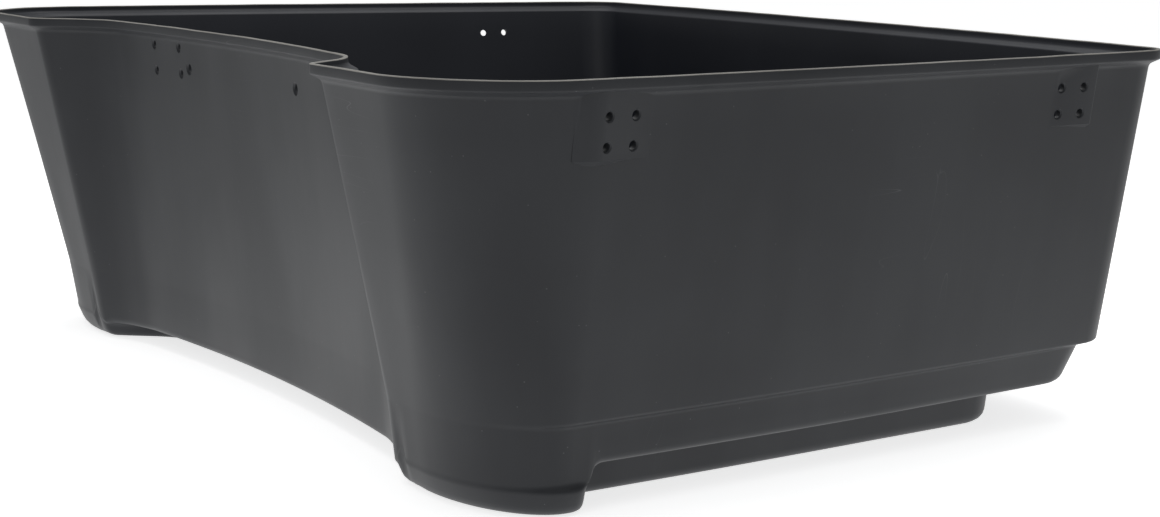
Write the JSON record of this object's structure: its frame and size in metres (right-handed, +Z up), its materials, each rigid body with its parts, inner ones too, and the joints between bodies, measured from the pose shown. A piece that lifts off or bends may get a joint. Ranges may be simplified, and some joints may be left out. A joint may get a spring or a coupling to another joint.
{
  "type": "truck bed tub liner",
  "caption": "Open-topped moulded plastic tub for a truck or utility vehicle bed, with a proud rim band, a recessed end between two noses, stepped floor box, feet and drilled mounting pads.",
  "frame": {"origin": "centre of the bounding box at the floor's underside, z = 0 on the floor face", "axes": "+X from the recessed end to the bowed end, +Y across the tub to its far side, +Z up"},
  "size_m": [1.2097, 1.8066, 0.522],
  "materials": {
    "tub_plastic": "satin charcoal polyethylene, lightly textured, as moulded"
  },
  "bodies": {
    "root": {"tub_shell": "tub_plastic"}
  },
  "joints": []
}
